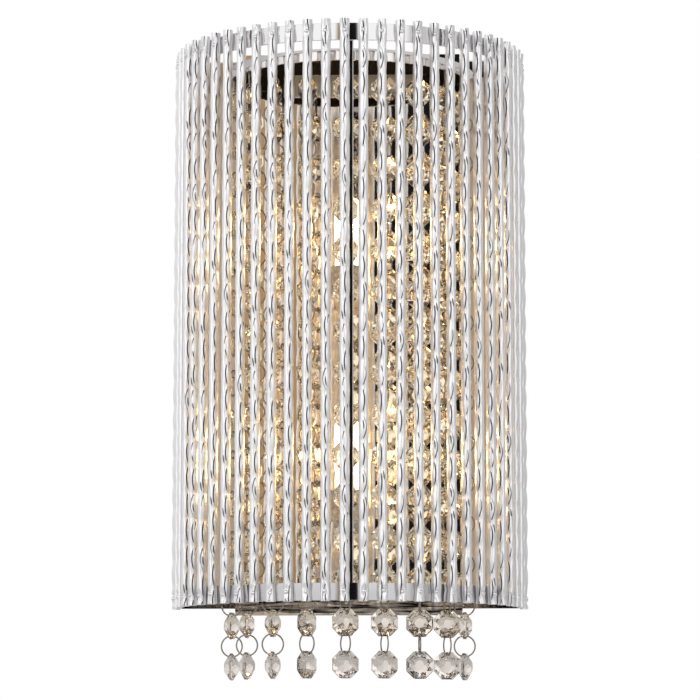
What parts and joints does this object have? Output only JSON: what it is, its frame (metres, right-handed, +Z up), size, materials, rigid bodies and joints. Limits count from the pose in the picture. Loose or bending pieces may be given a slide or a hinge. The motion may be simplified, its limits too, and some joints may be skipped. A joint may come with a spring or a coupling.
{
  "type": "crystal wall sconce",
  "caption": "Half-round wall sconce: crimped metal rods riveted to two bands in front of a mirror plate, with strands of cut octagons and two capsule bulbs inside.",
  "frame": {"origin": "on the wall plane, half way between the two wall screws", "axes": "+X right as seen from the room, +Y into the wall, +Z up"},
  "size_m": [0.1904, 0.0992, 0.3382],
  "materials": {
    "rod_metal": "bright drawn aluminium, crimped",
    "chrome_band": "polished chrome on steel strip",
    "rivet_metal": "bright rivet head",
    "hanger_chrome": "polished chrome on steel sheet",
    "mirror_chrome": "mirror-polished plate",
    "box_chrome": "polished chrome on steel sheet",
    "zinc_steel": "zinc-plated steel",
    "screw_steel": "nickel-plated steel",
    "block_plastic": "moulded polyamide",
    "crystal": "clear cut crystal",
    "link_wire": "nickel-plated wire",
    "holder_ceramic": "glazed ceramic holder on a steel foot",
    "bulb_glass": "clear capsule lamp, lit warm white"
  },
  "bodies": {
    "frame": {"rod_01": "rod_metal", "rod_02": "rod_metal", "rod_03": "rod_metal", "rod_04": "rod_metal", "rod_05": "rod_metal", "rod_06": "rod_metal", "rod_07": "rod_metal", "rod_08": "rod_metal", "rod_09": "rod_metal", "rod_10": "rod_metal", "rod_11": "rod_metal", "rod_12": "rod_metal", "rod_13": "rod_metal", "rod_14": "rod_metal", "rod_15": "rod_metal", "rod_16": "rod_metal", "rod_17": "rod_metal", "rod_18": "rod_metal", "rod_19": "rod_metal", "rod_20": "rod_metal", "rod_21": "rod_metal", "rod_22": "rod_metal", "rod_23": "rod_metal", "rod_24": "rod_metal", "rod_25": "rod_metal", "rod_26": "rod_metal", "rod_27": "rod_metal", "rod_28": "rod_metal", "rod_29": "rod_metal", "top_band": "chrome_band", "bottom_band": "chrome_band", "centre_strut": "chrome_band", "rod_rivets": "rivet_metal", "wall_box": "box_chrome", "mirror_plate": "mirror_chrome", "wall_bracket": "zinc_steel", "fixing_screws": "screw_steel", "terminal_block": "block_plastic", "strand_hanger": "hanger_chrome", "lampholders": "holder_ceramic"},
    "strand_1": {"crystals_1": "crystal", "strand_links_1": "link_wire"},
    "strand_2": {"crystals_2": "crystal", "strand_links_2": "link_wire"},
    "strand_3": {"crystals_3": "crystal", "strand_links_3": "link_wire"},
    "strand_4": {"crystals_4": "crystal", "strand_links_4": "link_wire"},
    "strand_5": {"crystals_5": "crystal", "strand_links_5": "link_wire"},
    "strand_6": {"crystals_6": "crystal", "strand_links_6": "link_wire"},
    "strand_7": {"crystals_7": "crystal", "strand_links_7": "link_wire"},
    "strand_8": {"crystals_8": "crystal", "strand_links_8": "link_wire"},
    "strand_9": {"crystals_9": "crystal", "strand_links_9": "link_wire"},
    "bulb_upper": {"bulb_upper": "bulb_glass"},
    "bulb_lower": {"bulb_lower": "bulb_glass"}
  },
  "joints": [
    {"name": "strand_1_swing", "type": "hinge", "parent": "frame", "child": "strand_1", "pos_m": [-0.06087, -0.03478, 0.1371], "axis": [-0.309, 0.9511, 0], "range_deg": [-2, 1]},
    {"name": "strand_2_swing", "type": "hinge", "parent": "frame", "child": "strand_2", "pos_m": [-0.05178, -0.05262, 0.1371], "axis": [-0.5878, 0.809, 0], "range_deg": [-2, 1]},
    {"name": "strand_3_swing", "type": "hinge", "parent": "frame", "child": "strand_3", "pos_m": [-0.03762, -0.06678, 0.1371], "axis": [-0.809, 0.5878, 0], "range_deg": [-2, 1]},
    {"name": "strand_4_swing", "type": "hinge", "parent": "frame", "child": "strand_4", "pos_m": [-0.01978, -0.07587, 0.1371], "axis": [-0.9511, 0.309, 0], "range_deg": [-2, 1]},
    {"name": "strand_5_swing", "type": "hinge", "parent": "frame", "child": "strand_5", "pos_m": [0, -0.079, 0.1371], "axis": [-1, 0, 0], "range_deg": [-2, 1]},
    {"name": "strand_6_swing", "type": "hinge", "parent": "frame", "child": "strand_6", "pos_m": [0.01978, -0.07587, 0.1371], "axis": [-0.9511, -0.309, 0], "range_deg": [-2, 1]},
    {"name": "strand_7_swing", "type": "hinge", "parent": "frame", "child": "strand_7", "pos_m": [0.03762, -0.06678, 0.1371], "axis": [-0.809, -0.5878, 0], "range_deg": [-2, 1]},
    {"name": "strand_8_swing", "type": "hinge", "parent": "frame", "child": "strand_8", "pos_m": [0.05178, -0.05262, 0.1371], "axis": [-0.5878, -0.809, 0], "range_deg": [-2, 1]},
    {"name": "strand_9_swing", "type": "hinge", "parent": "frame", "child": "strand_9", "pos_m": [0.06087, -0.03478, 0.1371], "axis": [-0.309, -0.9511, 0], "range_deg": [-2, 1]},
    {"name": "bulb_upper_pull", "type": "slide", "parent": "frame", "child": "bulb_upper", "axis": [0, 0, 1], "range_m": [0, 0.012]},
    {"name": "bulb_lower_pull", "type": "slide", "parent": "frame", "child": "bulb_lower", "axis": [0, 0, 1], "range_m": [0, 0.012]}
  ]
}
